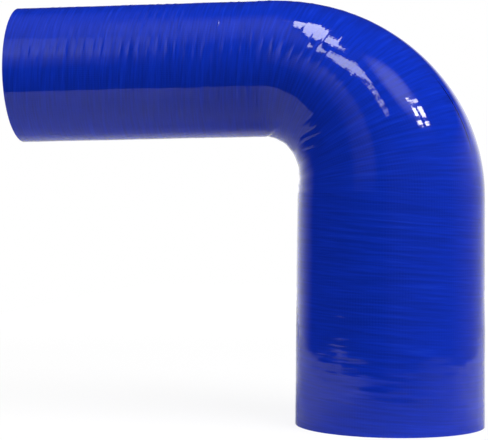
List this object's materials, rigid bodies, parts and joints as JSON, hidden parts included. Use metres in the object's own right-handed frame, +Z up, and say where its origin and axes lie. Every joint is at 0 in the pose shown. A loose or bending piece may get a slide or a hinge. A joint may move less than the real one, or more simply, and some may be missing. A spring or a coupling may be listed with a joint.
{
  "type": "silicone reducer elbow hose",
  "caption": "Blue silicone reducer elbow hose: a tape-wrapped tube that bends 90 degrees from a wide lower leg to a narrower side leg, open at both square-cut ends.",
  "frame": {"origin": "on the ground, under the middle of the hose's overall box", "axes": "+Z up along the large leg, -X along the small leg, +Y across the hose"},
  "size_m": [0.205, 0.081, 0.1828],
  "materials": {
    "blue_silicone": "glossy cured silicone rubber, deep saturated blue, with fine spiral marks left by the binding tape"
  },
  "bodies": {
    "root": {"elbow_hose": "blue_silicone"}
  },
  "joints": []
}
